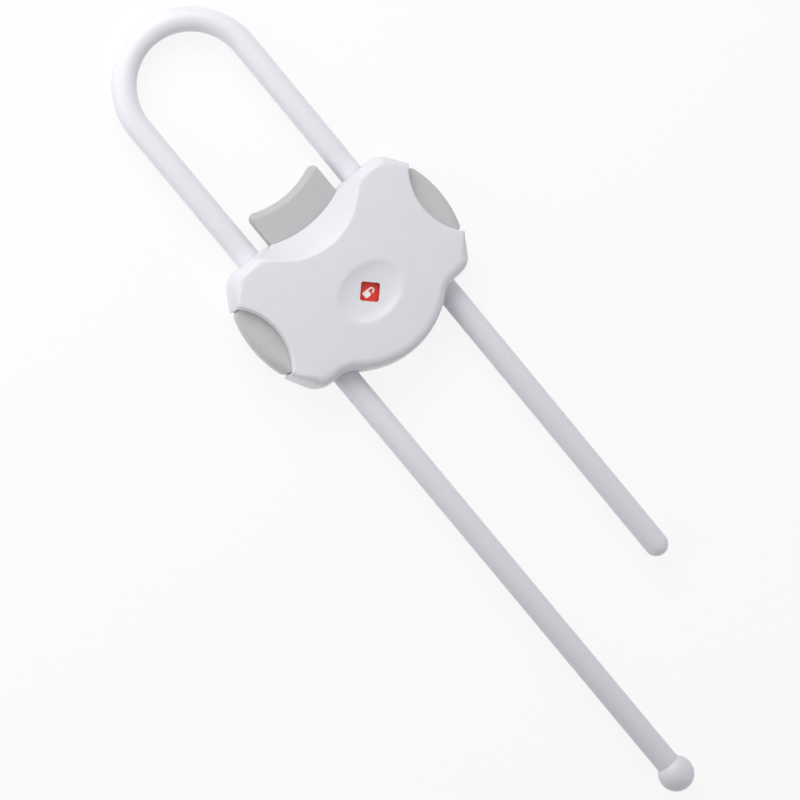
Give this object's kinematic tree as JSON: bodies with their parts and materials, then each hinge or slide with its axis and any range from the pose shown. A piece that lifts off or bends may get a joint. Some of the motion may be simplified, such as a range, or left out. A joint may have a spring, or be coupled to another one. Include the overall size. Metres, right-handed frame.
{
  "type": "cabinet safety lock",
  "caption": "Sliding cabinet lock: a lobed white body with thumb tab, side release buttons and a lock indicator clamps the legs of a U-shaped rod shackle that ends in a stop ball.",
  "frame": {"origin": "on the back face of the body, behind the middle of the lock indicator", "axes": "+Y along the legs towards the loop, +X towards the short leg, +Z out of the front face"},
  "size_m": [0.0688, 0.2647, 0.0158],
  "materials": {
    "shell_white": "moulded satin gloss",
    "rod_white": "smooth moulded satin",
    "tab_grey": "fine matt",
    "button_grey": "fine matt",
    "window_clear": "clear polished",
    "flag_white": "as moulded",
    "label_red": "printed",
    "label_green": "printed",
    "catch_plastic": "as moulded",
    "jaw_plastic": "as moulded",
    "pad_rubber": "soft moulded",
    "spring_steel": "drawn wire and plated screws"
  },
  "bodies": {
    "housing": {"front_cover": "shell_white", "back_cover": "shell_white", "cover_screws": "spring_steel", "indicator_window": "window_clear", "tab_spring": "spring_steel", "left_button_spring": "spring_steel", "right_button_spring": "spring_steel"},
    "shackle": {"shackle": "rod_white", "stop_ball": "rod_white"},
    "lock_tab": {"lock_slider": "tab_grey", "indicator_flag": "flag_white", "unlocked_label": "label_red", "locked_label": "label_green"},
    "left_button": {"left_button": "button_grey", "left_catch": "catch_plastic"},
    "right_button": {"right_button": "button_grey", "right_catch": "catch_plastic"},
    "left_jaw": {"left_jaw": "jaw_plastic", "left_jaw_pad": "pad_rubber"},
    "right_jaw": {"right_jaw": "jaw_plastic", "right_jaw_pad": "pad_rubber"}
  },
  "joints": [
    {"name": "shackle_slide", "type": "slide", "parent": "housing", "child": "shackle", "axis": [0, 1, 0], "range_m": [-0.046, 0.14]},
    {"name": "tab_push", "type": "slide", "parent": "housing", "child": "lock_tab", "axis": [0, -1, 0], "range_m": [0, 0.0105], "stiffness_N_per_m": 250, "springref_m": -0.004, "deforming": ["tab_spring", "left_catch", "right_catch"]},
    {"name": "left_button_press", "type": "slide", "parent": "housing", "child": "left_button", "axis": [1, 0, 0], "range_m": [0, 0.0025], "stiffness_N_per_m": 300, "springref_m": -0.001, "deforming": ["left_button_spring"]},
    {"name": "right_button_press", "type": "slide", "parent": "housing", "child": "right_button", "axis": [-1, 0, 0], "range_m": [0, 0.0025], "stiffness_N_per_m": 300, "springref_m": -0.001, "deforming": ["right_button_spring"]},
    {"name": "left_jaw_slide", "type": "slide", "parent": "housing", "child": "left_jaw", "axis": [-1, 0, 0], "range_m": [0, 0.0009]},
    {"name": "right_jaw_slide", "type": "slide", "parent": "housing", "child": "right_jaw", "axis": [1, 0, 0], "range_m": [0, 0.0009]}
  ],
  "couplings": [
    {"joint": "left_jaw_slide", "follows": "tab_push", "ratio": 0.085714},
    {"joint": "right_jaw_slide", "follows": "tab_push", "ratio": 0.085714}
  ]
}
